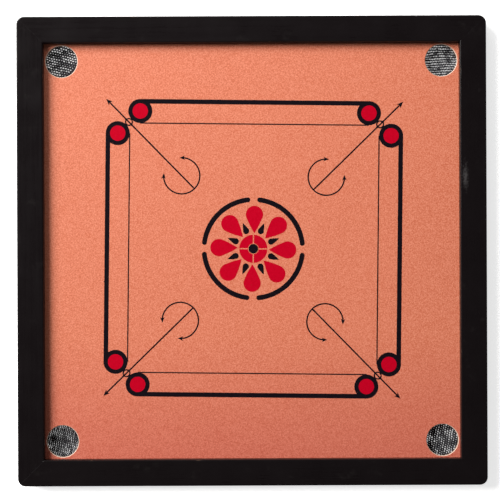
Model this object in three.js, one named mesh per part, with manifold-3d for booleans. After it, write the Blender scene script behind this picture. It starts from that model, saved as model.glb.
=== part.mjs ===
// A square carrom board: a mitred wooden frame, a plywood playboard held in the frame's groove,
// four round corner pockets, and a net held over each pocket by three dome-headed tacks.
// Millimetres, +Z up. The play face looks up. The origin lies under the middle of the board, in
// the plane of the tack heads that the board rests on. -Y is the front side and +X the right side.
import * as THREE from "three";
import { mergeVertices } from "three/addons/utils/BufferGeometryUtils.js";
import Module from "manifold-3d";

const wasm = await Module();
wasm.setup();

// Frame
const BOARD = 660; // outer side of the square frame
const RAIL_WIDTH = 37;
const RAIL_HEIGHT = 25;
const CORNER_RADIUS = 11; // the frame's four upright outer corners
const ARRIS = 1.6; // rounding along the rails' long edges
const ARRIS_STEPS = 3;
const MITRE_GAP = 0.3; // between two rails, across the mitre
const GAP = 0.3; // around a tack or a nail in its hole

// Playboard
const PLY = 4;
const FRONT_RECESS = 12.5; // from the frame's top face down to the play surface
const GROOVE_DEPTH = 8;
const PLY_CLEARANCE = 0.5; // between the playboard's edge and the groove's floor
const POCKET_DIAMETER = 44.5;
const POCKET_INSET = 24.75; // from each of the two near inner walls to the pocket's centre
const POCKET_CHAMFER = 0.8;
const POCKET_SEGMENTS = 40;

// Nets
const NET_THICKNESS = 0.6;
const NET_INSET = 5; // from the frame's outer side to the net's edge
const NET_CORNER_RADIUS = 6;
const NET_TIP_RADIUS = 3;

// Tacks, heads down
const HEAD_RADIUS = 5.5;
const HEAD_FLAT_RADIUS = 1.2; // worn flat on top of the dome
const DOME_HEIGHT = 2.1;
const DOME_SWEEP = (70 * Math.PI) / 180; // how far round the dome's curve goes
const DOME_STEPS = 5;
const HEAD_RIM = 0.3;
const TACK_SHANK_RADIUS = 0.9;
const TACK_SHANK_LENGTH = 12.6;
const TACK_POINT_LENGTH = 3;
const TACK_SEGMENTS = 16;

// Nails across the mitres
const NAIL_LENGTH = 50;
const NAIL_RADIUS = 1.2;
const NAIL_HEAD_RADIUS = 1.7;
const NAIL_HEAD_LENGTH = 1.5;
const NAIL_POINT_LENGTH = 4;
const NAIL_SUNK = 0.5; // the head's depth below the rail's outer side
const NAIL_INSET = 15; // from the side that the nail runs beside
const NAIL_LOW = 6.5; // height above the frame's back face
const NAIL_HIGH = 18;
const NAIL_SEGMENTS = 12;

// Heights from the plane that the board rests on
const HALF = BOARD / 2;
const HEAD_HEIGHT = DOME_HEIGHT + HEAD_RIM;
const BACK_Z = HEAD_HEIGHT + NET_THICKNESS; // the frame's back face, with the nets against it
const TOP_Z = BACK_Z + RAIL_HEIGHT;
const PLAY_Z = TOP_Z - FRONT_RECESS;
const OPENING = BOARD - 2 * RAIL_WIDTH; // inner side of the frame
const GROOVE_SIDE = OPENING + 2 * GROOVE_DEPTH;
const PLY_SIDE = GROOVE_SIDE - 2 * PLY_CLEARANCE;
const POCKET_CENTRE = OPENING / 2 - POCKET_INSET;

// The four corners. x and y are the signs of the corner's place. Each net was cut and tacked by
// hand, so its sizes are its own: longEdge is where the net's long edge would meet the frame's two
// outer sides, and each tack is placed by its distances from the left or right outer side and from
// the front or rear one.
const CORNERS = [
  {
    name: "rear_right",
    x: 1,
    y: 1,
    longEdge: [193, 180],
    tacks: { corner: [15, 27], rear_rail: [151.5, 22], side_rail: [20, 150.5] },
  },
  {
    name: "rear_left",
    x: -1,
    y: 1,
    longEdge: [155, 163],
    tacks: { corner: [11.5, 24], rear_rail: [123, 18], side_rail: [16, 137.5] },
  },
  {
    name: "front_right",
    x: 1,
    y: -1,
    longEdge: [175, 187],
    tacks: { corner: [12.5, 26], front_rail: [141, 21], side_rail: [12, 159] },
  },
  {
    name: "front_left",
    x: -1,
    y: -1,
    longEdge: [163, 163],
    tacks: { corner: [18, 25], front_rail: [132, 19], side_rail: [12.5, 142.5] },
  },
];

const paint = { color: 0x19171a, roughness: 0.38, metalness: 0 };
const lacquer = { color: 0xe9906f, roughness: 0.4, metalness: 0 };
const netting = { color: 0x2c2c31, roughness: 0.9, metalness: 0 };
const brass = { color: 0xc9a85c, roughness: 0.25, metalness: 1 };
const steel = { color: 0x8e9094, roughness: 0.4, metalness: 1 };

// A closed geometry as a solid for cutting.
function solidFrom(geometry) {
  const bare = geometry.index ? geometry.toNonIndexed() : geometry.clone();
  bare.deleteAttribute("normal");
  bare.deleteAttribute("uv");
  const merged = mergeVertices(bare, 1e-4);
  return new wasm.Manifold(
    new wasm.Mesh({
      numProp: 3,
      vertProperties: new Float32Array(merged.attributes.position.array),
      triVerts: new Uint32Array(merged.index.array),
    }),
  );
}

function geometryFrom(solid) {
  const cut = solid.getMesh();
  const geometry = new THREE.BufferGeometry();
  geometry.setAttribute("position", new THREE.BufferAttribute(cut.vertProperties, 3));
  geometry.setIndex(new THREE.BufferAttribute(cut.triVerts, 1));
  geometry.computeVertexNormals();
  return geometry;
}

// A flat shape extruded straight up from height z.
function slab(shape, z, depth, curveSegments = 6) {
  const geometry = new THREE.ExtrudeGeometry(shape, {
    depth,
    bevelEnabled: false,
    curveSegments,
  });
  return geometry.translate(0, 0, z);
}

// A solid of revolution about the Z axis. The profile runs from the bottom of the axis, round the
// outside, to its top.
function turned(profile, segments) {
  const points = profile.map(([r, z]) => new THREE.Vector2(r, z));
  return new THREE.LatheGeometry(points, segments).rotateX(Math.PI / 2);
}

// A closed outline whose corners are eased by radius, one radius for each point.
function easedOutline(points, radii) {
  const shape = new THREE.Shape();
  points.forEach((point, i) => {
    const before = points[(i + points.length - 1) % points.length];
    const after = points[(i + 1) % points.length];
    const start = point.clone().add(before.clone().sub(point).setLength(radii[i]));
    const end = point.clone().add(after.clone().sub(point).setLength(radii[i]));
    if (i === 0) shape.moveTo(start.x, start.y);
    else shape.lineTo(start.x, start.y);
    shape.quadraticCurveTo(point.x, point.y, end.x, end.y);
  });
  shape.closePath();
  return shape;
}

function roundedSquare(side, radius) {
  const h = side / 2;
  const c = h - radius;
  const shape = new THREE.Shape();
  shape.moveTo(h, -c);
  shape.absarc(c, c, radius, 0, Math.PI / 2, false);
  shape.absarc(-c, c, radius, Math.PI / 2, Math.PI, false);
  shape.absarc(-c, -c, radius, Math.PI, 1.5 * Math.PI, false);
  shape.absarc(c, -c, radius, 1.5 * Math.PI, 2 * Math.PI, false);
  return shape;
}

function square(side) {
  const h = side / 2;
  const corners = [
    [-h, -h],
    [h, -h],
    [h, h],
    [-h, h],
  ];
  return new THREE.Shape(corners.map(([x, y]) => new THREE.Vector2(x, y)));
}

// A place measured inwards from a corner's two outer sides.
function fromCorner(corner, u, v) {
  return new THREE.Vector2(corner.x * (HALF - u), corner.y * (HALF - v));
}

// Tack, head down with the dome's flat at z = 0.
function tackGeometry() {
  const profile = [[0, 0]];
  for (let i = 0; i <= DOME_STEPS; i++) {
    const angle = (DOME_SWEEP * i) / DOME_STEPS;
    const out = Math.sin(angle) / Math.sin(DOME_SWEEP);
    const up = (1 - Math.cos(angle)) / (1 - Math.cos(DOME_SWEEP));
    profile.push([HEAD_FLAT_RADIUS + (HEAD_RADIUS - HEAD_FLAT_RADIUS) * out, DOME_HEIGHT * up]);
  }
  const tip = HEAD_HEIGHT + TACK_SHANK_LENGTH;
  profile.push([HEAD_RADIUS, HEAD_HEIGHT]);
  profile.push([TACK_SHANK_RADIUS, HEAD_HEIGHT]);
  profile.push([TACK_SHANK_RADIUS, tip - TACK_POINT_LENGTH]);
  profile.push([0, tip]);
  return turned(profile, TACK_SEGMENTS);
}

// The drilled hole that a tack's shank stands in, open at the frame's back face.
function tackHole(place) {
  const r = TACK_SHANK_RADIUS + GAP;
  const top = HEAD_HEIGHT + TACK_SHANK_LENGTH + GAP;
  const profile = [
    [0, HEAD_HEIGHT],
    [r, HEAD_HEIGHT],
    [r, top],
    [0, top],
  ];
  return turned(profile, TACK_SEGMENTS).translate(place.x, place.y, 0);
}

// A nail or, with a margin, the hole that it stands in. It points down -Z, head at the origin.
function nailProfile(margin, over) {
  const r = NAIL_RADIUS + margin;
  const head = NAIL_HEAD_RADIUS + margin;
  return [
    [0, -NAIL_LENGTH - margin],
    [r, NAIL_POINT_LENGTH - NAIL_LENGTH],
    [r, -NAIL_HEAD_LENGTH - margin],
    [head, -NAIL_HEAD_LENGTH - margin],
    [head, over],
    [0, over],
  ];
}

// Lays a nail or its hole in place at a corner. The low nail is driven in from the left or right
// side and the high one from the front or rear side, so that they cross above one another.
function placeNail(geometry, corner, low) {
  const z = BACK_Z + (low ? NAIL_LOW : NAIL_HIGH);
  const near = HALF - NAIL_SUNK;
  if (low) {
    geometry.rotateY((corner.x * Math.PI) / 2);
    return geometry.translate(corner.x * near, corner.y * (HALF - NAIL_INSET), z);
  }
  geometry.rotateX((-corner.y * Math.PI) / 2);
  return geometry.translate(corner.x * (HALF - NAIL_INSET), corner.y * near, z);
}

// The whole frame as one ring, with its groove, tack holes and nail holes, before it is mitred.
function frameRing() {
  const outline = roundedSquare(BOARD, CORNER_RADIUS);
  outline.holes.push(square(OPENING));
  const bar = new THREE.ExtrudeGeometry(outline, {
    depth: RAIL_HEIGHT - 2 * ARRIS,
    bevelThickness: ARRIS,
    bevelSize: ARRIS,
    bevelOffset: -ARRIS,
    bevelSegments: ARRIS_STEPS,
    curveSegments: 3,
  });
  let ring = solidFrom(bar.translate(0, 0, BACK_Z + ARRIS));
  ring = ring.subtract(solidFrom(slab(square(GROOVE_SIDE), PLAY_Z - PLY, PLY)));
  for (const corner of CORNERS) {
    for (const [u, v] of Object.values(corner.tacks)) {
      ring = ring.subtract(solidFrom(tackHole(fromCorner(corner, u, v))));
    }
    for (const low of [true, false]) {
      const hole = turned(nailProfile(GAP, 2), NAIL_SEGMENTS);
      ring = ring.subtract(solidFrom(placeNail(hole, corner, low)));
    }
  }
  return ring;
}

// One rail: the part of the ring between two mitres. (dx, dy) points from the middle to the rail.
function rail(ring, dx, dy) {
  const apex = MITRE_GAP / Math.SQRT2;
  const reach = HALF + 20;
  const wedge = [
    [apex, 0],
    [apex + reach, -reach],
    [apex + reach, reach],
  ];
  const points = wedge.map(([a, b]) => new THREE.Vector2(dx * a - dy * b, dy * a + dx * b));
  const prism = slab(new THREE.Shape(points), 0, TOP_Z + 5);
  return geometryFrom(ring.intersect(solidFrom(prism)));
}

// Playboard, drawn from z = 0 up, with a chamfer round each pocket's upper edge.
function playboardGeometry() {
  let board = solidFrom(slab(square(PLY_SIDE), 0, PLY));
  const r = POCKET_DIAMETER / 2;
  const over = 1;
  const profile = [
    [0, -over],
    [r, -over],
    [r, PLY - POCKET_CHAMFER],
    [r + POCKET_CHAMFER + over, PLY + over],
    [0, PLY + over],
  ];
  for (const corner of CORNERS) {
    const hole = turned(profile, POCKET_SEGMENTS);
    hole.translate(corner.x * POCKET_CENTRE, corner.y * POCKET_CENTRE, 0);
    board = board.subtract(solidFrom(hole));
  }
  return geometryFrom(board);
}

// Net over one pocket: a triangle in the frame's corner, flat against the frame's back face.
function netGeometry(corner) {
  const [alongX, alongY] = corner.longEdge;
  const spots = [
    [NET_INSET, NET_INSET],
    [alongX * (1 - NET_INSET / alongY), NET_INSET],
    [NET_INSET, alongY * (1 - NET_INSET / alongX)],
  ];
  const points = spots.map(([u, v]) => fromCorner(corner, u, v));
  const outline = easedOutline(points, [NET_CORNER_RADIUS, NET_TIP_RADIUS, NET_TIP_RADIUS]);
  for (const [u, v] of Object.values(corner.tacks)) {
    const place = fromCorner(corner, u, v);
    const hole = new THREE.Path();
    hole.absarc(place.x, place.y, TACK_SHANK_RADIUS + GAP, 0, 2 * Math.PI, false);
    outline.holes.push(hole);
  }
  return slab(outline, 0, NET_THICKNESS, 4);
}

const board = new THREE.Group();

function add(name, geometry, look, z = 0) {
  const part = new THREE.Mesh(geometry, new THREE.MeshStandardMaterial(look));
  part.name = name;
  part.position.z = z;
  board.add(part);
  return part;
}

const ring = frameRing();
add("rail_front", rail(ring, 0, -1), paint);
add("rail_rear", rail(ring, 0, 1), paint);
add("rail_left", rail(ring, -1, 0), paint);
add("rail_right", rail(ring, 1, 0), paint);

add("playboard", playboardGeometry(), lacquer, PLAY_Z - PLY);

for (const corner of CORNERS) {
  add(`net_${corner.name}`, netGeometry(corner), netting, HEAD_HEIGHT);
  for (const [spot, [u, v]] of Object.entries(corner.tacks)) {
    const tack = add(`tack_${corner.name}_${spot}`, tackGeometry(), brass);
    const place = fromCorner(corner, u, v);
    tack.position.set(place.x, place.y, 0);
  }
  const lowNail = turned(nailProfile(0, 0), NAIL_SEGMENTS);
  add(`nail_${corner.name}_low`, placeNail(lowNail, corner, true), steel);
  const highNail = turned(nailProfile(0, 0), NAIL_SEGMENTS);
  add(`nail_${corner.name}_high`, placeNail(highNail, corner, false), steel);
}

export default board;
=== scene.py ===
import math
import random

import bmesh
import bpy
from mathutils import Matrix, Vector, geometry, noise


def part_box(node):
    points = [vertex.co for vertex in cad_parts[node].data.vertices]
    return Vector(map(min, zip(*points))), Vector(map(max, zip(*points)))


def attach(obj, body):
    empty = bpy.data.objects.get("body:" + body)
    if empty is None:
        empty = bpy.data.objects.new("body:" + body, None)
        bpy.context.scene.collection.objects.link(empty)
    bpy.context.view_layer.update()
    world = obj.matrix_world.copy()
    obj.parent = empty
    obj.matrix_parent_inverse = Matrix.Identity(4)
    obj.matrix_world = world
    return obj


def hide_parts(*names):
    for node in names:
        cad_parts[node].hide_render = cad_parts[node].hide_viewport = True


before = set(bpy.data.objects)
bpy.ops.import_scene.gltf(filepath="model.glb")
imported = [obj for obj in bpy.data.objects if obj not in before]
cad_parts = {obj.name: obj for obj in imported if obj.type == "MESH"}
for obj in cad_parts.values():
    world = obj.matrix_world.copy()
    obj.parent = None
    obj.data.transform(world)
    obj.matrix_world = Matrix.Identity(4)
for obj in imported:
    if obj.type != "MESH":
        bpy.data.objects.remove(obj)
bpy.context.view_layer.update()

MM = 0.001  # metres


def box_mm(node):
    low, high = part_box(node)
    return low / MM, high / MM


# ---------------------------------------------------------------- sizes taken from the frame
RAIL_LOW, RAIL_HIGH = box_mm("rail_left")
PLY_LOW, PLY_HIGH = box_mm("playboard")
HALF = -RAIL_LOW.x  # from the middle to the frame's outer side
OPENING_HALF = -RAIL_HIGH.x  # from the middle to the frame's inner side
RAIL_WIDTH = HALF - OPENING_HALF
BACK_Z = RAIL_LOW.z
TOP_Z = RAIL_HIGH.z
PLY_BACK_Z = PLY_LOW.z
PLAY_Z = PLY_HIGH.z
PLY_HALF = PLY_HIGH.x

# ---------------------------------------------------------------- sizes that the frame does not say
CORNER_RADIUS = 11
ARRIS = 1.6
ARRIS_STEPS = 5
ARRIS_GUARD = 0.8  # a line of points this far beyond each arris keeps the flat faces flat
MITRE_GAP = 0.004  # the paint closes the joint
JOINT_DIP = 0.15  # and sinks this much into it, over this much of each rail
JOINT_HALF = 0.7
GROOVE_DEPTH = 8
RAIL_STEP = 5  # length of one stretch of a rail's mesh
CORNER_STEPS = 8
DENTS = 7  # on each rail
DENT_LENGTH = (2, 7)
DENT_DEPTH = (0.15, 0.6)
DENT_MARGIN = 20  # from a rail's ends
UPPER_WEAR, LOWER_WEAR = 0.62, 0.5  # how worn an arris is at most, above and below
DENT_WEAR = 1.6  # more wear for each millimetre of a dent

POCKET_RADIUS = 22.25
POCKET_INSET = 24.75
POCKET_CHAMFER = 0.8
POCKET_SEGMENTS = 128

INK_THICKNESS = 0.05
INK_LAYER = 0.015  # how much higher an ink printed over another one stands
INK_ROOT = 0.02  # how deep the ink has sunk into the lacquer

NAIL_HOLE_RADIUS = 2.0
NAIL_HOLE_DEPTH = 0.5

# ---------------------------------------------------------------- camera, lights and floor (metres)
CAMERA_HEIGHT = 1.837
CAMERA_PLACE = (-0.0028, 0.0011)
CAMERA_ROLL = math.radians(-0.23)
CAMERA_LENS = 92.8

ROOM_LIGHT = 0.07  # strength overhead, and at the horizon
HORIZON_LIGHT = 0.9
PALE_BELOW = 0.12  # sines of the angles above the horizon where the change starts and ends
DIM_ABOVE = 0.26


def make_camera():
    data = bpy.data.cameras.new("camera")
    data.lens = CAMERA_LENS
    data.sensor_width = 36
    data.clip_end = 50
    camera = bpy.data.objects.new("camera", data)
    camera.location = (*CAMERA_PLACE, CAMERA_HEIGHT)
    camera.rotation_euler = (0, 0, CAMERA_ROLL)
    bpy.context.scene.collection.objects.link(camera)
    bpy.context.scene.camera = camera


def area_light(name, place, size, power, colour=(1, 1, 1)):
    data = bpy.data.lights.new(name, "AREA")
    data.shape = "DISK"
    data.size = size
    data.energy = power
    data.color = colour
    light = bpy.data.objects.new(name, data)
    light.location = place
    light.rotation_euler = (-Vector(place)).to_track_quat("-Z", "Y").to_euler()
    light.visible_camera = False
    bpy.context.scene.collection.objects.link(light)


def make_studio():
    """A wide key light from the left and behind, a weak fill from behind, and a room that is dim
    above and pale at the horizon."""
    area_light("key_light", (-3.26, 1.84, 3.0), 3.06, 415, (1, 0.985, 0.965))
    area_light("fill_light", (-0.15, 0.85, 0.55), 0.7, 2.3)
    world = bpy.data.worlds.new("room")
    world.use_nodes = True
    room = Nodes(world.node_tree)
    direction = room.add("TexCoord").outputs["Generated"]
    height = room.add("SeparateXYZ", {"Vector": direction}).outputs["Z"]
    background = room.nodes["Background"]
    strength = room.spread(height, PALE_BELOW, DIM_ABOVE, HORIZON_LIGHT, ROOM_LIGHT)
    room.feed(background.inputs["Strength"], strength)
    room.feed(background.inputs["Color"], (1, 1, 1))
    bpy.context.scene.world = world
    bpy.context.scene.view_settings.view_transform = "Standard"


# ---------------------------------------------------------------- materials
class Nodes:
    """A node tree that is put together by short calls."""

    def __init__(self, tree):
        self.nodes, self.links = tree.nodes, tree.links

    def add(self, kind, sockets=None, **settings):
        """A new node with these settings, and with what each named or numbered socket gets."""
        node = self.nodes.new("ShaderNode" + kind)
        for name, value in settings.items():
            setattr(node, name, value)
        for key, value in (sockets or {}).items():
            self.feed(node.inputs[key], value)
        return node

    def feed(self, socket, value):
        """Gives a socket another node's output, a number, a vector or an opaque colour."""
        if isinstance(value, bpy.types.NodeSocket):
            self.links.new(value, socket)
        elif isinstance(value, tuple):
            socket.default_value = (*value, 1)[: len(socket.default_value)]
        else:
            socket.default_value = value

    def spread(self, value, low, high, to_low=0.0, to_high=1.0):
        """value moved from the range low..high to the range to_low..to_high, and held inside it."""
        sockets = {"Value": value, "From Min": low, "From Max": high}
        sockets.update({"To Min": to_low, "To Max": to_high})
        return self.add("MapRange", sockets, clamp=True).outputs["Result"]


class Look(Nodes):
    """A material. Its textures follow the place on the object in metres, so nothing depends on
    unwrapped coordinates."""

    def __init__(self, name, roughness, metallic=0.0, specular=0.5):
        self.material = bpy.data.materials.new(name)
        self.material.use_nodes = True
        super().__init__(self.material.node_tree)
        self.shader = self.nodes["Principled BSDF"]
        self.set("Roughness", roughness)
        self.set("Metallic", metallic)
        self.set("Specular IOR Level", specular)
        self.place = self.add("TexCoord").outputs["Object"]

    def set(self, socket, value):
        self.feed(self.shader.inputs[socket], value)

    def stretched(self, sx, sy, sz):
        """The place on the object, squeezed along each axis, so that a texture comes out drawn."""
        return self.add("Mapping", {"Vector": self.place, "Scale": (sx, sy, sz)}).outputs["Vector"]

    def noise(self, scale, detail=3.0, rough=0.55, along=None):
        sockets = {"Scale": scale, "Detail": detail, "Roughness": rough}
        return self.add("TexNoise", {"Vector": along or self.place, **sockets}).outputs["Fac"]

    def twill(self, scale, distortion):
        """Slanting bands, as on twisted or knitted thread."""
        sockets = {"Vector": self.place, "Scale": scale, "Distortion": distortion}
        return self.add("TexWave", sockets, bands_direction="DIAGONAL").outputs["Fac"]

    def cells(self, scale):
        return self.add("TexVoronoi", {"Vector": self.place, "Scale": scale}).outputs["Distance"]

    def maths(self, operation, first, second):
        return self.add("Math", {0: first, 1: second}, operation=operation).outputs["Value"]

    def times(self, first, second):
        return self.maths("MULTIPLY", first, second)

    def blend(self, share, first, second):
        """From the first colour to the second, as share goes from 0 to 1."""
        sockets = {"Factor": share, 6: first, 7: second}
        return self.add("Mix", sockets, data_type="RGBA").outputs[2]

    def colour(self, share, first, second):
        self.set("Base Color", self.blend(share, first, second))

    def roughness(self, value, *ranges):
        self.set("Roughness", self.spread(value, *ranges))

    def near(self, centre, reach):
        """1 at the centre, falling to 0 at reach along each axis; both in metres."""
        gap = self.add("VectorMath", {0: self.place, 1: centre}, operation="SUBTRACT")
        share = self.add("VectorMath", {0: gap.outputs["Vector"], 1: reach}, operation="DIVIDE")
        length = self.add("VectorMath", {0: share.outputs["Vector"]}, operation="LENGTH")
        return self.spread(length.outputs["Value"], 0.0, 1.0, 1.0, 0.0)

    def vertex_value(self, name):
        return self.add("Attribute", attribute_name=name).outputs["Fac"]

    def bump(self, height, distance, over=None):
        """Roughens the surface by height times distance, in metres, over another bump if given."""
        node = self.add("Bump", {"Strength": 1.0, "Distance": distance, "Height": height})
        if over is not None:
            self.feed(node.inputs["Normal"], over)
        self.set("Normal", node.outputs["Normal"])
        return node.outputs["Normal"]


CHAFED_PLACE = (0.3000, 0.104, 0.028)  # metres; a chafed spot on the right rail's top face
CHAFED_REACH = (0.012, 0.052, 0.010)


def rail_paint(name, grain_axis):
    """Black satin paint over softwood: brush marks and grain run along the rail, dust and fine
    scuffs dull it, and the wood shows through where an edge is knocked."""
    look = Look(name, 0.30, specular=0.10)
    across, along = 260, 9
    scale = (along, across, across) if grain_axis == "X" else (across, along, across)
    drawn = look.stretched(*scale)
    grain = look.noise(1.0, 4.0, 0.6, drawn)
    patches = look.noise(22.0, 3.0)
    dust = look.spread(look.noise(1900.0, 2.0), 0.62, 0.74)
    rubbed = look.spread(look.noise(34.0, 5.0, 0.7), 0.60, 0.72)
    black = look.blend(patches, (0.0046, 0.0032, 0.0036), (0.0070, 0.0051, 0.0057))
    dusty = look.blend(look.times(dust, 0.12), black, (0.10, 0.095, 0.09))
    scuffed = look.blend(look.times(rubbed, 0.03), dusty, (0.16, 0.15, 0.14))
    chafed = look.times(look.near(CHAFED_PLACE, CHAFED_REACH), look.noise(380.0, 4.0, 0.75))
    scuffed = look.blend(look.spread(chafed, 0.30, 0.50, 0.0, 0.20), scuffed, (0.20, 0.19, 0.19))
    worn = look.times(look.vertex_value("wear"), look.noise(420.0, 4.0, 0.65))
    bare = look.spread(worn, 0.34, 0.44)
    look.colour(bare, scuffed, (0.065, 0.040, 0.026))
    gloss = look.spread(look.maths("ADD", grain, patches), 0.7, 1.3, 0.24, 0.36)
    look.set("Roughness", look.maths("MAXIMUM", gloss, look.times(bare, 0.75)))
    brushed = look.bump(grain, 0.00005)
    look.bump(look.noise(900.0, 2.0), 0.00001, brushed)
    return look.material


PAINTED_SHADE_PLACE = (0, -0.36, PLAY_Z * MM)  # metres; painted shade: the front side is darker, as if less light fell there
PAINTED_SHADE_REACH = (9, 0.24, 0.003)


def lacquer():
    """Orange lacquer over thin plywood, with a fine speckle, soft clouds and a faint grain, and
    painted shade that darkens it towards the front.
    """
    look = Look("orange_lacquer", 0.42, specular=0.2)
    clouds = look.noise(9.0, 4.0, 0.6)
    speckle = look.noise(600.0, 2.0, 0.7)
    grain = look.noise(1.0, 3.0, 0.5, look.stretched(6, 130, 130))
    base = look.blend(look.spread(clouds, 0.30, 0.70), (0.508, 0.118, 0.056), (0.538, 0.130, 0.064))
    specks = look.spread(speckle, 0.34, 0.66)
    light = look.blend(specks, base, (0.725, 0.250, 0.155))
    streaked = look.blend(look.spread(grain, 0.5, 0.8, 0.0, 0.05), light, (0.42, 0.10, 0.05))
    # painted shade: the lacquer and its specks turn darker towards the front, standing in for light
    # that falls off there
    painted_shade = look.times(look.near(PAINTED_SHADE_PLACE, PAINTED_SHADE_REACH), 0.8)
    darker = look.blend(specks, (0.405, 0.062, 0.045), (0.575, 0.142, 0.108))
    look.colour(painted_shade, streaked, darker)
    look.roughness(look.noise(60.0, 3.0), 0.3, 0.7, 0.37, 0.47)
    peel = look.bump(look.noise(340.0, 2.0), 0.00003)
    look.bump(grain, 0.00003, peel)
    return look.material


def raw_wood():
    """Pale bare wood where the pocket's edge was eased after lacquering."""
    look = Look("pocket_rim_wood", 0.7)
    fibres = look.noise(1.0, 4.0, 0.6, look.stretched(60, 900, 900))
    stain = look.noise(90.0, 3.0)
    pale = look.blend(fibres, (0.60, 0.44, 0.35), (0.78, 0.64, 0.54))
    look.colour(look.spread(stain, 0.5, 0.75, 0.0, 0.5), pale, (0.50, 0.26, 0.18))
    look.bump(fibres, 0.00008)
    return look.material


def ply_edge():
    """The cut edge of three-ply board: the middle layer shows darker end grain."""
    look = Look("plywood_edge", 0.8)
    layers = look.noise(1.0, 1.0, 0.3, look.stretched(3, 3, 620))
    fibres = look.noise(1.0, 4.0, 0.7, look.stretched(500, 500, 1800))
    wood = look.blend(look.spread(layers, 0.42, 0.52), (0.17, 0.09, 0.05), (0.30, 0.18, 0.11))
    look.colour(look.spread(fibres, 0.3, 0.8, 0.0, 0.55), wood, (0.11, 0.055, 0.033))
    look.bump(fibres, 0.00015)
    return look.material


def ink(name, dark, light, roughness):
    """Screen-printing ink: nearly even, with a slight mottle and pinholes that show the ground."""
    look = Look(name, roughness, specular=0.05)
    mottle = look.noise(480.0, 3.0, 0.7)
    pinholes = look.spread(look.cells(420.0), 0.03, 0.06)
    body = look.blend(look.spread(mottle, 0.3, 0.7), dark, light)
    look.colour(pinholes, (0.30, 0.09, 0.06), body)
    look.roughness(mottle, 0.3, 0.7, roughness - 0.05, roughness + 0.08)
    look.bump(look.noise(1300.0, 2.0), 0.000012)
    return look.material


def net_yarn():
    """Matt black knitted yarn: stitches a millimetre long, with lighter fibre fuzz."""
    look = Look("net_yarn", 0.85, specular=0.12)
    stitches = look.twill(1150.0, 3.0)
    fuzz = look.noise(2600.0, 3.0, 0.7)
    faded = look.noise(45.0, 2.0)
    yarn = look.blend(fuzz, (0.007, 0.0066, 0.0085), (0.040, 0.0385, 0.044))
    look.colour(look.spread(faded, 0.4, 0.8, 0.0, 0.35), yarn, (0.050, 0.045, 0.050))
    look.set("Sheen Weight", 0.08)
    look.set("Sheen Roughness", 0.5)
    ribs = look.bump(stitches, 0.00012)
    look.bump(fuzz, 0.00006, ribs)
    return look.material


def stitching():
    look = Look("hem_thread", 0.7, specular=0.3)
    twist = look.twill(2400.0, 0.5)
    look.colour(twist, (0.045, 0.044, 0.050), (0.120, 0.118, 0.128))
    look.bump(twist, 0.00005)
    return look.material


def brass():
    """Polished brass with fine scratches, and a brown tarnish that gathers towards the rim."""
    look = Look("tack_brass", 0.24, metallic=1.0)
    tarnish = look.spread(look.noise(260.0, 4.0, 0.65), 0.50, 0.72)
    scratches = look.noise(1.0, 2.0, 0.5, look.stretched(4200, 500, 900))
    rim = look.vertex_value("wear")
    dirt = look.times(look.maths("ADD", look.times(tarnish, 0.5), rim), 0.45)
    look.colour(dirt, (0.90, 0.74, 0.42), (0.34, 0.20, 0.08))
    look.roughness(look.maths("ADD", scratches, dirt), 0.3, 1.5, 0.16, 0.50)
    look.bump(scratches, 0.00002)
    return look.material


def nail_steel():
    """Wire nail, painted over with the frame, so the black is thin and shows some bright steel."""
    look = Look("painted_nail", 0.45, metallic=0.5)
    chips = look.spread(look.noise(900.0, 3.0, 0.7), 0.58, 0.66)
    look.colour(chips, (0.011, 0.010, 0.010), (0.40, 0.40, 0.42))
    look.roughness(look.noise(1500.0, 2.0), 0.3, 0.7, 0.35, 0.6)
    look.bump(look.noise(1200.0, 3.0), 0.00004)
    return look.material


def floor_paper(name, glow):
    """Pale paper that gives off light, as the photograph's background is pure white."""
    look = Look(name, 0.9, specular=0.1)
    tone = look.noise(3.0, 2.0)
    look.colour(tone, (0.90, 0.90, 0.90), (0.93, 0.93, 0.93))
    look.set("Emission Color", (1, 1, 1))
    look.set("Emission Strength", glow)
    return look.material


# ---------------------------------------------------------------- meshes
def mesh_piece(name, points, faces, materials, sharp_angle=32):
    """A new object from points in millimetres. An edge bent more than sharp_angle stays crisp."""
    mesh = bpy.data.meshes.new(name)
    mesh.from_pydata([Vector(p) * MM for p in points], [], faces)
    for material in materials:
        mesh.materials.append(material)
    tidy = bmesh.new()
    tidy.from_mesh(mesh)
    bmesh.ops.recalc_face_normals(tidy, faces=tidy.faces)
    tidy.to_mesh(mesh)
    tidy.free()
    mesh.polygons.foreach_set("use_smooth", [True] * len(mesh.polygons))
    mesh.set_sharp_from_angle(angle=math.radians(sharp_angle))
    piece = bpy.data.objects.new(name, mesh)
    bpy.context.scene.collection.objects.link(piece)
    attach(piece, "root")
    return piece


def add_wear(piece, values):
    """Stores one number for each point, which a material reads as wear."""
    attribute = piece.data.attributes.new("wear", "FLOAT", "POINT")
    attribute.data.foreach_set("value", values)


def arc(cx, cy, radius, start, end, steps):
    """Points round a circle, with the angles in degrees."""
    found = []
    for i in range(steps + 1):
        angle = math.radians(start + (end - start) * i / steps)
        found.append((cx + radius * math.cos(angle), cy + radius * math.sin(angle)))
    return found


def bent(start, pull, end, share):
    """A point of the curve that leaves start towards pull and comes from there to end."""
    return start * (1 - share) ** 2 + pull * 2 * share * (1 - share) + end * share**2


def grid_faces(rows, columns, start=0, rows_close=False, columns_close=False):
    """Four-sided faces between points that run row by row, from the point numbered start."""
    faces = []
    for row in range(rows if rows_close else rows - 1):
        here, there = start + row * columns, start + (row + 1) % rows * columns
        for i in range(columns if columns_close else columns - 1):
            j = (i + 1) % columns
            faces.append((here + i, here + j, there + j, there + i))
    return faces


def circle(cx, cy, radius, segments=64):
    return arc(cx, cy, radius, 0, 360, segments)[:-1]


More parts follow.
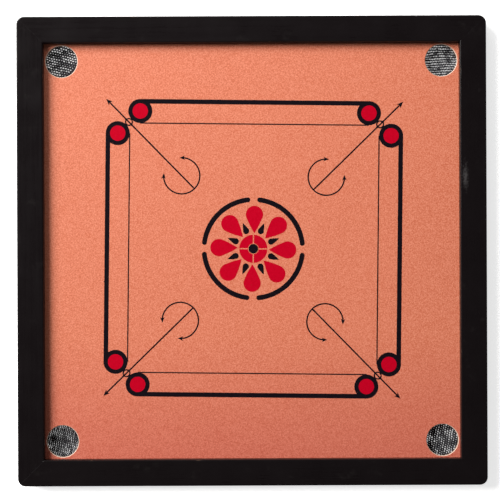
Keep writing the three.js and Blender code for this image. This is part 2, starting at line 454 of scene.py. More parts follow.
# ---------------------------------------------------------------- rails
def rail_profile():
    """The rail's section as (inset from the outer side, height, edge), going up the outer side,
    inwards over the top and down to the groove. Edge is 1 in the middle of a rounded arris."""
    arrises = [
        (ARRIS, BACK_Z + ARRIS, 270, 180),
        (ARRIS, TOP_Z - ARRIS, 180, 90),
        (RAIL_WIDTH - ARRIS, TOP_Z - ARRIS, 90, 0),
        (RAIL_WIDTH - ARRIS, BACK_Z + ARRIS, 0, -90),
    ]
    groove = [
        (RAIL_WIDTH, PLAY_Z),
        (RAIL_WIDTH - GROOVE_DEPTH, PLAY_Z),
        (RAIL_WIDTH - GROOVE_DEPTH, PLY_BACK_Z),
        (RAIL_WIDTH, PLY_BACK_Z),
    ]
    profile = []
    for arris in arrises:
        inset, z, start, end = arris
        if arris is arrises[-1]:
            profile += [(*corner, 0.0) for corner in groove]
        curve = arc(inset, z, ARRIS, start, end, ARRIS_STEPS)
        profile.append((*along_from(curve[0], start, -ARRIS_GUARD), 0.0))
        for i, (t, height) in enumerate(curve):
            profile.append((t, height, math.sin(math.pi * i / ARRIS_STEPS)))
        profile.append((*along_from(curve[-1], end, ARRIS_GUARD), 0.0))
    return profile


def along_from(point, degrees, distance):
    """A point moved along the section's outline, where the outline's normal points at degrees."""
    angle = math.radians(degrees)
    return point[0] + math.sin(angle) * distance, point[1] - math.cos(angle) * distance


def rail_line(inset):
    """How far along and how far out a rail's line runs at one inset, from mitre to mitre. Close to
    the outer side it follows half of the frame's rounded corner at each end."""
    out = HALF - inset
    straight_half = HALF - CORNER_RADIUS
    radius = CORNER_RADIUS - inset
    if radius > 0:
        turn = math.degrees(math.asin(MITRE_GAP / 2 / radius))
        end = arc(straight_half, straight_half, radius, 45 + turn, 90, CORNER_STEPS)
    else:
        tip = out - MITRE_GAP / math.sqrt(2)
        straight_half = out - CORNER_RADIUS
        end = [
            (tip + (straight_half - tip) * i / CORNER_STEPS, out) for i in range(CORNER_STEPS + 1)
        ]
    share = JOINT_HALF / math.dist(end[0], end[1])
    end.insert(1, tuple(a + (b - a) * share for a, b in zip(end[0], end[1])))
    count = round(2 * HALF / RAIL_STEP)
    middle = [(straight_half - 2 * straight_half * i / count, out) for i in range(1, count)]
    return end + middle + [(-x, y) for x, y in reversed(end)]


def knocks(rng):
    """Small dents in a rail's upper edges: place along the rail, which edge, length and depth."""
    return [
        (
            rng.uniform(-HALF + DENT_MARGIN, HALF - DENT_MARGIN),
            rng.choice(("outer", "inner")),
            rng.uniform(*DENT_LENGTH),
            rng.uniform(*DENT_DEPTH),
        )
        for _ in range(DENTS)
    ]


def rail_piece(side, turn, material, seed):
    """One rail, drawn as the rear one and turned into place by quarter turns."""
    profile = rail_profile()
    lines = [rail_line(inset) for inset, _, _ in profile]
    count = len(lines[0])
    dents = knocks(random.Random(seed))
    points, wear = [], []
    for (inset, z, edge), line in zip(profile, lines):
        upper = z > TOP_Z - ARRIS - 0.01
        which = "outer" if inset < RAIL_WIDTH / 2 else "inner"
        inwards = 1 if which == "outer" else -1
        for station, (x, y) in enumerate(line):
            dent = sum(
                depth * max(0, 1 - ((x - place) / length) ** 2) ** 2
                for place, where, length, depth in dents
                if where == which
            )
            dent *= edge if upper else 0
            rub = 0.5 + 0.5 * noise.noise((x / 18, y / 18, z / 6 + seed))
            worn = (UPPER_WEAR if upper else LOWER_WEAR) * rub
            wear.append(min(1, edge * worn + dent * DENT_WEAR))
            drop = dent * math.sqrt(0.5)
            joint = JOINT_DIP if upper and station in (0, count - 1) else 0
            points.append((x, y - inwards * drop, z - drop - joint))
    faces = grid_faces(len(profile), count, rows_close=True)
    faces.append(tuple(row * count for row in range(len(profile))))
    faces.append(tuple(row * count + count - 1 for row in reversed(range(len(profile)))))
    cosine, sine = round(math.cos(turn)), round(math.sin(turn))
    turned = [(x * cosine - y * sine, x * sine + y * cosine, z) for x, y, z in points]
    piece = mesh_piece(f"painted_rail_{side}", turned, faces, [material], 40)
    add_wear(piece, wear)
    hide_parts(f"rail_{side}")
    return piece


def cut_nail_holes(rail, nails):
    """Sinks a shallow hole over each nail head in the rail's outer side."""
    for nail in nails:
        low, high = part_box(nail)
        middle = (low + high) / 2
        along_x = (high - low).x > (high - low).y
        direction = Vector((math.copysign(1, middle.x), 0, 0))
        if not along_x:
            direction = Vector((0, math.copysign(1, middle.y), 0))
        hole = bmesh.new()
        bmesh.ops.create_cone(
            hole,
            cap_ends=True,
            segments=28,
            radius1=NAIL_HOLE_RADIUS * MM,
            radius2=NAIL_HOLE_RADIUS * MM,
            depth=2 * NAIL_HOLE_DEPTH * MM,
        )
        mesh = bpy.data.meshes.new("nail_hole")
        hole.to_mesh(mesh)
        hole.free()
        cutter = bpy.data.objects.new("nail_hole", mesh)
        face = middle + direction * (HALF * MM - middle.dot(direction))
        cutter.location = face
        cutter.rotation_euler = direction.to_track_quat("Z", "Y").to_euler()
        bpy.context.scene.collection.objects.link(cutter)
        cut = rail.modifiers.new("nail_hole", "BOOLEAN")
        cut.operation = "DIFFERENCE"
        cut.object = cutter
        cut.solver = "EXACT"
        bpy.context.view_layer.update()
        shaped = bpy.data.meshes.new_from_object(
            rail.evaluated_get(bpy.context.evaluated_depsgraph_get())
        )
        rail.modifiers.clear()
        rail.data = shaped
        bpy.data.objects.remove(cutter)


# ---------------------------------------------------------------- playboard
def pocket_places():
    centre = OPENING_HALF - POCKET_INSET
    return [(x * centre, y * centre) for x in (-1, 1) for y in (-1, 1)]


def flat_faces(loops, offset):
    """Triangles that fill the first loop and leave the others open."""
    flat = [[Vector((x, y, 0)) for x, y in loop] for loop in loops]
    return [tuple(offset + i for i in face) for face in geometry.tessellate_polygon(flat)]


def playboard_piece(materials):
    """The printed board: lacquered faces, a bare chamfer round each pocket, and plywood edges."""
    side = PLY_HALF
    square = [(-side, -side), (side, -side), (side, side), (-side, side)]

    def pockets(radius):
        return [circle(x, y, radius, POCKET_SEGMENTS) for x, y in pocket_places()]

    bottom = [square, *pockets(POCKET_RADIUS)]
    waist = pockets(POCKET_RADIUS)
    top = [square, *pockets(POCKET_RADIUS + POCKET_CHAMFER)]
    points = [(x, y, PLY_BACK_Z) for loop in bottom for x, y in loop]
    waist_start = len(points)
    points += [(x, y, PLAY_Z - POCKET_CHAMFER) for loop in waist for x, y in loop]
    top_start = len(points)
    points += [(x, y, PLAY_Z) for loop in top for x, y in loop]
    faces = flat_faces(bottom, 0) + flat_faces(top, top_start)
    slots = [0] * len(faces)

    def wall(lower, upper, count, slot):
        for i in range(count):
            j = (i + 1) % count
            faces.append((lower + i, lower + j, upper + j, upper + i))
            slots.append(slot)

    wall(0, top_start, len(square), 2)
    for number in range(len(waist)):
        below = len(square) + number * POCKET_SEGMENTS
        middle = waist_start + number * POCKET_SEGMENTS
        above = top_start + len(square) + number * POCKET_SEGMENTS
        wall(below, middle, POCKET_SEGMENTS, 2)
        wall(middle, above, POCKET_SEGMENTS, 1)
    piece = mesh_piece("printed_playboard", points, faces, materials, 30)
    piece.data.polygons.foreach_set("material_index", slots)
    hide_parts("playboard")


# ---------------------------------------------------------------- printed shapes
# A shape is its outline, its holes and its layer. Shapes on one layer never cross.
def shape(outline, holes=(), layer=0):
    return {"outline": outline, "holes": list(holes), "layer": layer}


def ring_shape(cx, cy, outer, inner, layer=0):
    return shape(circle(cx, cy, outer), [circle(cx, cy, inner)], layer)


def ribbon(line, thickness, round_ends=False, layer=0):
    """An open line drawn with a pen of that thickness."""
    path = [Vector(p) for p in line]
    left, right = [], []
    for i, point in enumerate(path):
        before = (point - path[i - 1]).normalized() if i else None
        after = (path[i + 1] - point).normalized() if i + 1 < len(path) else None
        ahead = ((before or after) + (after or before)).normalized()
        side = Vector((-ahead.y, ahead.x)) * thickness / 2
        side /= max(0.5, ahead.dot(after or before))
        left.append(tuple(point + side))
        right.append(tuple(point - side))
    if round_ends:
        left += round_cap(path[-1], path[-2], thickness / 2)
        right = round_cap(path[0], path[1], thickness / 2)[::-1] + right
    return shape(left + right[::-1], layer=layer)


def round_cap(end, before, radius):
    """Points round a line's end, from its left side to its right one."""
    ahead = end - before
    facing = math.degrees(math.atan2(ahead.y, ahead.x))
    return arc(*end, radius, facing + 90, facing - 90, 10)[1:-1]


ARROW_NOTCH = 0.72  # where a head's barbs meet, as a share of its length


def arrowhead(tip, degrees, length, width, layer=0):
    """A barbed head, with its tip at tip, that points along degrees."""
    barbs = [(-length, width / 2), (-length * ARROW_NOTCH, 0), (-length, -width / 2)]
    return shape([turned_point(p, degrees, tip) for p in [(0, 0), *barbs]], layer=layer)


def turned_point(point, degrees, origin=(0, 0)):
    angle = math.radians(degrees)
    x, y = point
    return (
        origin[0] + x * math.cos(angle) - y * math.sin(angle),
        origin[1] + x * math.sin(angle) + y * math.cos(angle),
    )


def turned_shape(item, degrees):
    loops = [[turned_point(p, degrees) for p in loop] for loop in [item["outline"], *item["holes"]]]
    return shape(loops[0], loops[1:], item["layer"])


def mirrored(line):
    """A line's mirror image about the diagonal, walked the other way."""
    return [(y, x) for x, y in reversed(line)]


def drop(round_at, radius, tip_at, aside=0.0, bulge=0.0):
    """A teardrop on the X axis: a round end, and sides that run to a tip with a slight bulge."""
    reach = tip_at - round_at
    facing = 0 if reach > 0 else 180
    touch = math.degrees(math.acos(radius / abs(reach)))
    head = arc(round_at, aside, radius, facing + touch, facing + 360 - touch, 40)
    outline = list(head)
    for start, end, side in ((head[-1], (tip_at, aside), -1), ((tip_at, aside), head[0], 1)):
        steps = 6
        for i in range(1, steps + (1 if side < 0 else 0)):
            share = i / steps
            x = start[0] + (end[0] - start[0]) * share
            y = start[1] + (end[1] - start[1]) * share
            outwards = side * (1 if reach > 0 else -1)
            outline.append((x, y + outwards * bulge * math.sin(math.pi * share)))
    return shape(outline)


def print_piece(name, shapes, place, base, outwards, material):
    """One ink on one face: every shape is a thin plate that stands on the lacquer."""
    points, faces = [], []
    for item in shapes:
        loops = [[place(p) for p in loop] for loop in [item["outline"], *item["holes"]]]
        root = base - outwards * INK_ROOT
        face_z = base + outwards * (INK_THICKNESS + item["layer"] * INK_LAYER)
        count = sum(len(loop) for loop in loops)
        start = len(points)
        points += [(x, y, root) for loop in loops for x, y in loop]
        points += [(x, y, face_z) for loop in loops for x, y in loop]
        faces += flat_faces(loops, start) + flat_faces(loops, start + count)
        first = start
        for loop in loops:
            for i in range(len(loop)):
                j = (i + 1) % len(loop)
                faces.append((first + i, first + j, first + j + count, first + i + count))
            first += len(loop)
    piece = mesh_piece(name, points, faces, [material], 30)


# ---------------------------------------------------------------- front print
PRINT_SHIFT = (1.9, 2.8)
PRINT_TURN = -0.78  # degrees; the print sits a little askew in the frame

BASE_NEAR = 161.6  # a base ring's centre, along its side of the board
BASE_FAR = 193.2  # and out from the middle
BASE_OUTER = 17.0
BASE_DISC = 10.9
BAND_EDGE = BASE_FAR + BASE_OUTER
BAND_WIDTH = 6.5
THIN_LINE = 1.7

ARROW_LINE = 2.1
ARROW_TIP = 209.9
ARROW_HEAD = (9.4, 7.6)  # length and width
ARROW_SHAFT_END = 0.75  # from the tip, as a share of the head's length
NODE_PLACE = 177.5
NODE_RADIUS = 5.7
NODE_LINE = 1.9
NODE_DOT = 1.5
CURL_PLACE = 102.2
CURL_RADIUS = 25.6
CURL_LINE = 2.0
CURL_OPEN = 37  # degrees, on each side of the line towards the pocket
CURL_HEAD = (8.0, 6.4)

ARC_RADIUS = 69.6
ARC_WIDTH = 6.9
ARC_GAP = 9.8
PETAL = {"round_at": 48.6, "radius": 12.2, "tip_at": 22.0, "aside": -1.2, "bulge": 0.7}
SEED = {"round_at": 27.0, "radius": 4.3, "tip_at": 39.4, "bulge": 0.3}
HUB_RADIUS = 19.9
HUB_GAP = 1.6
HUB_HOLE = 7.6
DOT_RADIUS = 6.8
SPECK = (-210.5, -48.5, 0.8)  # a stray spot of ink beside the left band: place and radius


def front_place(point):
    return turned_point(point, PRINT_TURN, PRINT_SHIFT)


def base_line_shapes():
    """One side's two base rings, thick band and thin line, on the +Y side."""
    band_y = BAND_EDGE - BAND_WIDTH / 2
    thin_y = BASE_FAR - BASE_OUTER
    ends = (-BASE_NEAR, BASE_NEAR)
    black = [ring_shape(x, BASE_FAR, BASE_OUTER, BASE_DISC, 1) for x in ends]
    black.append(ribbon([(-BASE_NEAR, band_y), (BASE_NEAR, band_y)], BAND_WIDTH))
    black.append(ribbon([(-BASE_NEAR, thin_y), (BASE_NEAR, thin_y)], THIN_LINE, layer=2))
    red = [shape(circle(x, BASE_FAR, BASE_DISC), layer=3) for x in ends]
    return black, red


def corner_arrow_shapes():
    """The long arrow towards one pocket, drawn along the +X axis, with its ring and curl."""
    diagonal = math.sqrt(2)
    tip = ARROW_TIP * diagonal
    curl = CURL_PLACE * diagonal
    node = NODE_PLACE * diagonal
    tail = curl - CURL_RADIUS
    length, width = ARROW_HEAD
    found = [ribbon([(tail, 0), (tip - length * ARROW_SHAFT_END, 0)], ARROW_LINE)]
    found.append(arrowhead((tip, 0), 0, length, width, 1))
    found.append(ring_shape(node, 0, NODE_RADIUS, NODE_RADIUS - NODE_LINE, 1))
    for side in (-1, 1):
        found.append(shape(circle(node + side * NODE_RADIUS, 0, NODE_DOT, 16), layer=2))
    head_length, head_width = CURL_HEAD
    head_turn = math.degrees(head_length * ARROW_NOTCH / CURL_RADIUS)
    curve = arc(curl, 0, CURL_RADIUS, CURL_OPEN + head_turn, 360 - CURL_OPEN - head_turn, 64)
    found.append(ribbon(curve, CURL_LINE, layer=1))
    for side in (-1, 1):
        angle = side * CURL_OPEN
        end = turned_point((CURL_RADIUS, 0), angle, (curl, 0))
        facing = angle - side * 90 + side * head_turn / 2
        found.append(arrowhead(end, facing, head_length, head_width, 2))
    return found


def hub_quarter():
    """A quarter of the ring round the centre dot, kept clear of both axes."""
    half = HUB_GAP / 2
    outer_turn = math.degrees(math.asin(half / HUB_RADIUS))
    inner_turn = math.degrees(math.asin(half / HUB_HOLE))
    outline = arc(0, 0, HUB_RADIUS, outer_turn, 90 - outer_turn, 24)
    outline += arc(0, 0, HUB_HOLE, 90 - inner_turn, inner_turn, 14)
    return shape(outline)


def front_prints(black_ink, red_ink):
    black, red = [], []
    for quarter in range(4):
        band_black, band_red = base_line_shapes()
        black += [turned_shape(item, 90 * quarter) for item in band_black]
        red += [turned_shape(item, 90 * quarter) for item in band_red]
        black += [turned_shape(item, 45 + 90 * quarter) for item in corner_arrow_shapes()]
        gap = math.degrees(math.asin((ARC_GAP + ARC_WIDTH) / 2 / ARC_RADIUS))
        curve = arc(0, 0, ARC_RADIUS, 90 * quarter + gap, 90 * quarter + 90 - gap, 48)
        black.append(ribbon(curve, ARC_WIDTH, round_ends=True))
        red.append(turned_shape(hub_quarter(), 90 * quarter))
    for eighth in range(8):
        red.append(turned_shape(drop(**PETAL), 45 * eighth))
        black.append(turned_shape(drop(**SEED), 22.5 + 45 * eighth))
    black.append(shape(circle(0, 0, DOT_RADIUS)))
    black.append(shape(circle(*SPECK, 12), layer=4))
    print_piece("front_print_black", black, front_place, PLAY_Z, 1, black_ink)
    print_piece("front_print_red", red, front_place, PLAY_Z, 1, red_ink)


# ---------------------------------------------------------------- back print
BACK_SHIFT = (-1.5, 2.5)  # as seen from the back, where +X is the frame's -X
SQUARE = 29.4
SQUARES = 8
SQUARE_TRIM = 0.15  # so that diagonal neighbours do not meet
BRACKET = 129.3
BRACKET_WIDTH = 5.0
BRACKET_LINE = 137.5
BRACKET_END = 24.5
BRACKET_SPACE = 1.6
FINE = 1.5
TRACK = 175.0
TRACK_WIDTH = 4.5
TRACK_OUTER = 180.5
TRACK_INNER = 166.5
TRACK_CORNER = 29.0
CORNER_RING = 188.5
CORNER_RING_OUTER = 24.5
CORNER_RING_INNER = 17.5
CORNER_BEADS = 16
BEAD_WIDTH = 3.6
BEAD_GAP = 5  # degrees, at each of its ends
FUNNEL = ((166, 196), (158, 186), (142, 183.9))  # start, pull and end of a bent line
DASH = (166.5, 170.5)
DASH_SPACING = 4.2
LOOP_FAR = 216.3
LOOP_RADIUS = 30.0
LOOP_NEAR = 145.0
LOOP_LINE = 1.2


def back_place(point):
    x, y = point
    return (-(x + BACK_SHIFT[0]), y + BACK_SHIFT[1])


def rounded_track(half, radius, width):
    """A square ring with rounded corners, as one closed band."""

    def outline(reach, corner):
        centre = reach - corner
        loop = []
        for quarter, (x, y) in enumerate(((1, 1), (-1, 1), (-1, -1), (1, -1))):
            start = 90 * quarter
            loop += arc(x * centre, y * centre, corner, start, start + 90, 16)
        return loop

    grow = width / 2
    return shape(outline(half + grow, radius + grow), [outline(half - grow, radius - grow)])


def chessboard_shapes():
    half = SQUARE * SQUARES / 2
    found = []
    for row in range(SQUARES):
        for column in range(SQUARES):
            if (row + column) % 2:
                left, right = (-half + (column + i) * SQUARE for i in (0, 1))
                top, bottom = (half - (row + i) * SQUARE for i in (0, 1))
                left, right = left + SQUARE_TRIM, right - SQUARE_TRIM
                top, bottom = top - SQUARE_TRIM, bottom + SQUARE_TRIM
                found.append(shape([(left, top), (left, bottom), (right, bottom), (right, top)]))
    return found


def bracket_shapes():
    """An L round one corner of the chessboard, in the +X +Y quarter, and its fine outer line, which
    curls round each arm's end."""
    arm = [(BRACKET_END, BRACKET), (BRACKET, BRACKET), (BRACKET, BRACKET_END)]
    thick = ribbon(arm, BRACKET_WIDTH)
    curl = (BRACKET_LINE - BRACKET + BRACKET_WIDTH / 2 + BRACKET_SPACE) / 2
    turn_at = BRACKET_LINE - curl
    along = arc(BRACKET_END, turn_at, curl, 270, 90, 14)
    line = along + [(BRACKET_LINE, BRACKET_LINE)] + mirrored(along)
    return [thick, ribbon(line, FINE, layer=1)]


def corner_ring_shapes():
    """A ring outside the track's corner on the +X axis: two fine circles and beads between them."""
    centre = CORNER_RING * math.sqrt(2)
    radii = (CORNER_RING_OUTER, CORNER_RING_INNER)
    found = [ring_shape(centre, 0, radius, radius - FINE) for radius in radii]
    middle = (CORNER_RING_OUTER - FINE + CORNER_RING_INNER) / 2
    step = 360 / CORNER_BEADS
    for bead in range(CORNER_BEADS):
        start = bead * step
        curve = arc(centre, 0, middle, start + BEAD_GAP, start + step - BEAD_GAP, 8)
        found.append(ribbon(curve, BEAD_WIDTH, round_ends=True, layer=1))
    return found


def funnel_shapes():
    """Lines that run from the corner ring's sides to the track, mirrored about the diagonal, and
    three short dashes between ring and track."""
    start, pull, end = (Vector(point) for point in FUNNEL)
    bend = [tuple(bent(start, pull, end, step / 12)) for step in range(13)]
    lines = [bend, mirrored(bend)]
    for shift in (-DASH_SPACING, 0, DASH_SPACING):
        lines.append([(place + shift, place - shift) for place in DASH])
    return [ribbon(line, FINE, layer=2) for line in lines]


def loop_shapes():
    """The fine loop on one side of a corner ring, and its mirror image about the diagonal."""
    centre_x = LOOP_NEAR
    centre_y = LOOP_FAR - LOOP_RADIUS
    line = [(CORNER_RING, LOOP_FAR)] + arc(centre_x, centre_y, LOOP_RADIUS, 90, 180, 20)
    line.append((centre_x - LOOP_RADIUS, TRACK_OUTER))
    return [ribbon(side, LOOP_LINE, layer=3) for side in (line, mirrored(line))]


def back_print(black_ink):
    shapes = chessboard_shapes()
    for half, width in ((TRACK, TRACK_WIDTH), (TRACK_OUTER, FINE), (TRACK_INNER, FINE)):
        shapes.append(rounded_track(half, TRACK_CORNER + half - TRACK, width))
    for quarter in range(4):
        for item in bracket_shapes() + funnel_shapes() + loop_shapes():
            shapes.append(turned_shape(item, 90 * quarter))
        for item in corner_ring_shapes():
            shapes.append(turned_shape(item, 45 + 90 * quarter))
    print_piece("back_print_black", shapes, back_place, PLY_BACK_Z, -1, black_ink)


# ---------------------------------------------------------------- nets
NET_INSET = 5
NET_TIP_RADIUS = 3
NET_CORNER_RADIUS = 6
TIP_TRIM = 0.414 * NET_TIP_RADIUS  # what easing takes off a tip's reach
HEM = 5.0
HEM_HALF_THICKNESS = 0.28
HEM_RISE = ((0.07, 0.8), (0.18, 1.0), (0.84, 1.0), (0.95, 0.7))  # shares of its width and thickness
HOLES_FROM = 0.55 * HEM  # the holes start under the fold
STITCHES_AT = 0.78 * HEM
MESH_PEAK = 0.28  # how far the lattice lines zigzag
HOLE_SHARE = (0.40, 0.24)  # half a hole, as a share of the pitch and of the row
HOLE_LARGEST = 1.18  # a larger hole would meet its neighbour
HOLE_SMALLEST = 0.25
HOLE_SIDES = [(-1, -1), (0, -1), (1, -1), (1, 1), (0, 1), (-1, 1)]  # half pitches and half rows
YARN_HALF = 0.22  # half the sheet's thickness
STITCH_PITCH = 3.4
STITCH_LENGTH = 2.3
STITCH_RADIUS = 0.14
SAG = 0.9  # below the tacked plane, in the middle of a net
SAG_RIPPLE = 0.45
FREE_REACH = 30  # how far in from the rail the full sag is reached

# Each net was cut and knitted its own way: which way its rows run, in degrees, how wavy they are, how
# far apart the holes of a row (pitch) and the rows are, and how open the holes are.
NETS = {
    "rear_left": {"rows": -17, "wavy": 1.3, "pitch": 3.6, "row": 3.35, "open": 0.92},
    "rear_right": {"rows": 1, "wavy": 0.5, "pitch": 2.3, "row": 3.45, "open": 1.06},
    "front_left": {"rows": 77, "wavy": 0.6, "pitch": 2.3, "row": 2.8, "open": 0.74},
    "front_right": {"rows": 79, "wavy": 0.6, "pitch": 3.2, "row": 3.3, "open": 0.75},
}


class NetPlace:
    """Where a corner's net lies. (u, v) are distances in from the frame's two outer sides."""

    def __init__(self, corner):
        self.sx = -1 if corner.endswith("left") else 1
        self.sy = -1 if corner.startswith("front") else 1
        low, high = box_mm(f"net_{corner}")
        self.z = (low.z + high.z) / 2
        self.leg_u = high.x - low.x + TIP_TRIM
        self.leg_v = high.y - low.y + TIP_TRIM
        self.hypotenuse = math.hypot(self.leg_u, self.leg_v)

    def world(self, u, v):
        return (self.sx * (HALF - u), self.sy * (HALF - v))

    def inward(self, x, y):
        return (HALF - self.sx * x, HALF - self.sy * y)

    def corners(self, inset=0.0):
        """The triangle's three corners, moved in by inset from each side."""
        slack_u = inset + inset * (self.hypotenuse + self.leg_u) / self.leg_v
        slack_v = inset + inset * (self.hypotenuse + self.leg_v) / self.leg_u
        start = NET_INSET + inset
        return [
            Vector((start, start)),
            Vector((NET_INSET + self.leg_u - slack_u, start)),
            Vector((start, NET_INSET + self.leg_v - slack_v)),
        ]

    def inside(self, u, v, inset):
        a, b = u - NET_INSET, v - NET_INSET
        to_edge = (self.leg_u * self.leg_v - a * self.leg_v - b * self.leg_u) / self.hypotenuse
        return a > inset and b > inset and to_edge > inset

    def height(self, u, v):
        """The net is held flat on the rails, and sags a little where nothing is behind it."""

        def ease(distance):
            share = min(1, max(0, distance / FREE_REACH))
            return share * share * (3 - 2 * share)

        free = ease(u - RAIL_WIDTH) * ease(v - RAIL_WIDTH)
        ripple = noise.noise((u / 26 + self.sx * 5, v / 26 + self.sy * 9, 0.5))
        return self.z - free * (SAG + SAG_RIPPLE * ripple)


def eased_loop(corners, radii, along=22, round_steps=5):
    """A closed outline whose corners are eased, with points along its straight sides too."""
    loop = []
    for i, point in enumerate(corners):
        before, after = corners[i - 1], corners[(i + 1) % len(corners)]
        start = point + (before - point).normalized() * radii[i]
        end = point + (after - point).normalized() * radii[i]
        for step in range(round_steps + 1):
            loop.append(bent(start, point, end, step / round_steps))
        next_radius = radii[(i + 1) % len(corners)]
        stop = after + (point - after).normalized() * next_radius
        loop += [end.lerp(stop, step / along) for step in range(1, along)]
    return loop


def net_mesh(place, habit):
    """The knitted sheet: staggered oval holes with yarn between them, rounded towards each hole."""
    turn, pitch, row = habit["rows"], habit["pitch"], habit["row"]
    middle = place.world(NET_INSET + place.leg_u / 3, NET_INSET + place.leg_v / 3)
    reach = place.hypotenuse * 0.75
    rows = math.ceil(reach / row)
    columns = math.ceil(reach / pitch)

    def lattice_point(x, y):
        wave = habit["wavy"] * math.sin(x / 17 + place.sx) + 0.4 * math.sin(x / 6.3 + y / 9)
        wave += 0.8 * noise.noise((x / 5, y / 6, turn))
        return place.inward(*turned_point((x, y + wave), turn, middle))

    points, index = [], {}

    def vertex(key, x, y, lift):
        if key not in index:
            u, v = lattice_point(x, y)
            index[key] = len(points)
            points.append((*place.world(u, v), place.height(u, v) + lift))
        return index[key]

    faces, border = [], {}
    for j in range(-rows, rows + 1):
        for i in range(-columns, columns + 1):
            k = 2 * i + (j & 1)
            x, y = k * pitch / 2, j * row
            if not place.inside(*lattice_point(x, y), HOLES_FROM):
                continue
            around = []
            for dk, dj in HOLE_SIDES:
                peak = MESH_PEAK * dj * (1 if dk == 0 else -1)
                key = (k + dk, 2 * j + dj)
                around.append((key, x + dk * pitch / 2, y + dj * row / 2 + peak))
            upper = [vertex((*key, "up"), px, py, YARN_HALF) for key, px, py in around]
            lower = [vertex((*key, "down"), px, py, -YARN_HALF) for key, px, py in around]
            hole = []
            opening = habit["open"] * (1 + 0.9 * noise.noise((x / 4, y / 3, turn + 7)))
            opening *= 1 + 1.2 * noise.noise((x / 11, y / 8, turn + 19))
            opening = min(HOLE_LARGEST, max(HOLE_SMALLEST, opening))
            for step, (dk, dj) in enumerate(HOLE_SIDES):
                angle = math.atan2(dj, dk)
                px = x + HOLE_SHARE[0] * pitch * opening * math.cos(angle)
                py = y + HOLE_SHARE[1] * row * opening * math.sin(angle)
                hole.append(vertex((k, j, step, "hole"), px, py, 0))
            for step in range(len(HOLE_SIDES)):
                after = (step + 1) % len(HOLE_SIDES)
                faces.append((upper[step], upper[after], hole[after], hole[step]))
                faces.append((lower[after], lower[step], hole[step], hole[after]))
                edge = frozenset((around[step][0], around[after][0]))
                if edge in border:
                    del border[edge]
                else:
                    border[edge] = (upper[after], upper[step], lower[step], lower[after])
    faces += list(border.values())
    return points, faces


def hem_mesh(place):
    """The folded hem, a flat band with rounded edges that follows the net's outline."""
    radii = (NET_CORNER_RADIUS, NET_TIP_RADIUS, NET_TIP_RADIUS)
    outer = eased_loop(place.corners(), radii)
    inner = eased_loop(place.corners(HEM), (NET_TIP_RADIUS,) * 3)
    fall = [(across, -lift) for across, lift in reversed(HEM_RISE)]
    section = [(0.0, 0.0), *HEM_RISE, (1.0, 0.0), *fall]
    points = []
    for across, lift in section:
        for out_point, in_point in zip(outer, inner):
            u, v = out_point.lerp(in_point, across)
            points.append((*place.world(u, v), place.height(u, v) + lift * HEM_HALF_THICKNESS))
    return points, grid_faces(len(section), len(outer), rows_close=True, columns_close=True)


def stitch_mesh(place):
    """Small stitches along the hem's inner edge, on the side that faces down."""
    line = eased_loop(place.corners(STITCHES_AT), (NET_TIP_RADIUS,) * 3, along=60)
    stations = [(-0.5, 0.15), (-0.4, 0.8), (0.0, 1.0), (0.4, 0.8), (0.5, 0.15)]
    points, faces = [], []
    travelled, sides = 0.0, 6
    for i, here in enumerate(line):
        step = line[(i + 1) % len(line)] - here
        travelled += step.length
        if travelled < STITCH_PITCH or step.length < 0.4:
            continue
        travelled = 0.0
        ahead = step.normalized()
        aside = Vector((-ahead.y, ahead.x))
        start = len(points)
        for along, swell in stations:
            for turn in range(sides):
                angle = 2 * math.pi * turn / sides
                spot = here + ahead * along * STITCH_LENGTH
                spot += aside * math.cos(angle) * STITCH_RADIUS * 1.5 * swell
                z = place.height(*spot) - HEM_HALF_THICKNESS
                lift = math.sin(angle) * STITCH_RADIUS * swell
                points.append((*place.world(*spot), z + lift))
        faces += grid_faces(len(stations), sides, start, columns_close=True)
        last = start + (len(stations) - 1) * sides
        faces.append(tuple(start + turn for turn in reversed(range(sides))))
        faces.append(tuple(last + turn for turn in range(sides)))
    return points, faces


def net_pieces(corner, habit, yarn, thread):
    """One net: the knitted sheet with its folded hem, and the stitches that hold the fold."""
    place = NetPlace(corner)
    points, faces = net_mesh(place, habit)
    hem_points, hem_faces = hem_mesh(place)
    faces += [tuple(len(points) + i for i in face) for face in hem_faces]
    points += hem_points
    net = mesh_piece(f"net_cloth_{corner}", points, faces, [yarn], 60)
    stitches = mesh_piece(f"net_stitches_{corner}", *stitch_mesh(place), [thread], 60)
    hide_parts(f"net_{corner}")


# ---------------------------------------------------------------- tacks
HEAD_RADIUS = 5.5
HEAD_FLAT = 1.2
DOME_HEIGHT = 2.1
DOME_SWEEP = math.radians(70)
DOME_STEPS = 12
HEAD_RIM = 0.3
SHANK_RADIUS = 0.9
SHANK_LENGTH = 12.6
SHANK_POINT = 3.0
TACK_SEGMENTS = 48


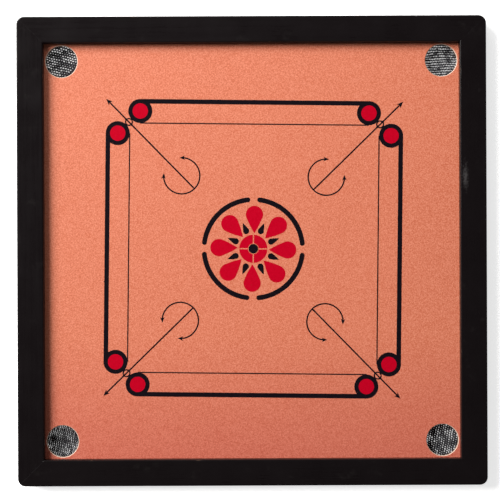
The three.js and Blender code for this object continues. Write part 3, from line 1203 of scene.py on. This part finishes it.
def tack_piece(node, material):
    """A domed upholstery tack, head down, with a softened rim and a small flat on the dome, which
    is assumed."""
    low, high = box_mm(node)
    cx, cy = (low.x + high.x) / 2, (low.y + high.y) / 2
    under = DOME_HEIGHT + HEAD_RIM
    tip = under + SHANK_LENGTH
    profile = []
    for i in range(DOME_STEPS + 1):
        angle = DOME_SWEEP * i / DOME_STEPS
        out = math.sin(angle) / math.sin(DOME_SWEEP)
        up = (1 - math.cos(angle)) / (1 - math.cos(DOME_SWEEP))
        profile.append((HEAD_FLAT + (HEAD_RADIUS - HEAD_FLAT) * out, DOME_HEIGHT * up))
    profile += [
        (HEAD_RADIUS, DOME_HEIGHT + HEAD_RIM * 0.6),
        (HEAD_RADIUS - 0.12, under),
        (SHANK_RADIUS, under),
        (SHANK_RADIUS, tip - SHANK_POINT),
        (0.1, tip),
    ]
    points, wear = [], []
    rng = random.Random(node)
    dent_angle, dent_depth = rng.uniform(0, 2 * math.pi), rng.uniform(0.02, 0.10)
    for r, z in profile:
        for step in range(TACK_SEGMENTS):
            angle = 2 * math.pi * step / TACK_SEGMENTS
            dent = dent_depth * max(0, math.cos(angle - dent_angle)) ** 4
            dent *= math.sin(math.pi * min(1, r / HEAD_RADIUS)) if z < under else 0
            points.append((cx + r * math.cos(angle), cy + r * math.sin(angle), z + dent))
            wear.append(max(0, r / HEAD_RADIUS - 0.80) * 3 if z < under else 0.2)
    faces = grid_faces(len(profile), TACK_SEGMENTS, columns_close=True)
    faces.append(tuple(range(TACK_SEGMENTS)))
    last = (len(profile) - 1) * TACK_SEGMENTS
    faces.append(tuple(last + i for i in reversed(range(TACK_SEGMENTS))))
    piece = mesh_piece(f"brass_{node}", points, faces, [material], 50)
    add_wear(piece, wear)
    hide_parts(node)


# ---------------------------------------------------------------- floor
FLOOR_HALF = 3.0  # metres
FLOOR_GLOW = 0.7
SHADED_GLOW = 0.48  # under the board the floor glows less, a painted shade, and this glow lights the nets from behind
SHADED_MARGIN = 12


def make_floor():
    mesh = bpy.data.meshes.new("floor")
    corners = []
    for half in (FLOOR_HALF, (HALF - SHADED_MARGIN) * MM):
        corners += [(-half, -half, 0), (half, -half, 0), (half, half, 0), (-half, half, 0)]
    sides = [(i, (i + 1) % 4, (i + 1) % 4 + 4, i + 4) for i in range(4)]
    mesh.from_pydata(corners, [], [*sides, (4, 5, 6, 7)])
    mesh.materials.append(floor_paper("pale_floor", FLOOR_GLOW))
    # painted shade: the patch under the board glows less than the floor around it
    mesh.materials.append(floor_paper("shaded_floor", SHADED_GLOW))
    mesh.polygons[-1].material_index = 1
    floor = bpy.data.objects.new("floor", mesh)
    floor.location.z = -0.0002
    bpy.context.scene.collection.objects.link(floor)


# ---------------------------------------------------------------- the board
make_camera()
make_studio()
make_floor()

paint_x = rail_paint("rail_paint_along_x", "X")
paint_y = rail_paint("rail_paint_along_y", "Y")
RAILS = {
    "rear": (0, paint_x, ("rear_left_high", "rear_right_high")),
    "left": (math.pi / 2, paint_y, ("rear_left_low", "front_left_low")),
    "front": (math.pi, paint_x, ("front_left_high", "front_right_high")),
    "right": (-math.pi / 2, paint_y, ("rear_right_low", "front_right_low")),
}
for seed, (side, (turn, paint, nails)) in enumerate(RAILS.items()):
    rail = rail_piece(side, turn, paint, seed + 3)
    cut_nail_holes(rail, [f"nail_{nail}" for nail in nails])

black_ink = ink("black_ink", (0.0045, 0.0030, 0.0050), (0.0075, 0.0052, 0.0082), 0.38)
red_ink = ink("red_ink", (0.420, 0.0004, 0.0115), (0.505, 0.0006, 0.0170), 0.36)
playboard_piece([lacquer(), raw_wood(), ply_edge()])
front_prints(black_ink, red_ink)
back_print(black_ink)

yarn, thread = net_yarn(), stitching()
for corner, habit in NETS.items():
    net_pieces(corner, habit, yarn, thread)

tack_metal, nail_metal = brass(), nail_steel()
for node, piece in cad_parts.items():
    if node.startswith("tack_"):
        tack_piece(node, tack_metal)
    if node.startswith("nail_"):
        piece.data.materials.clear()
        piece.data.materials.append(nail_metal)
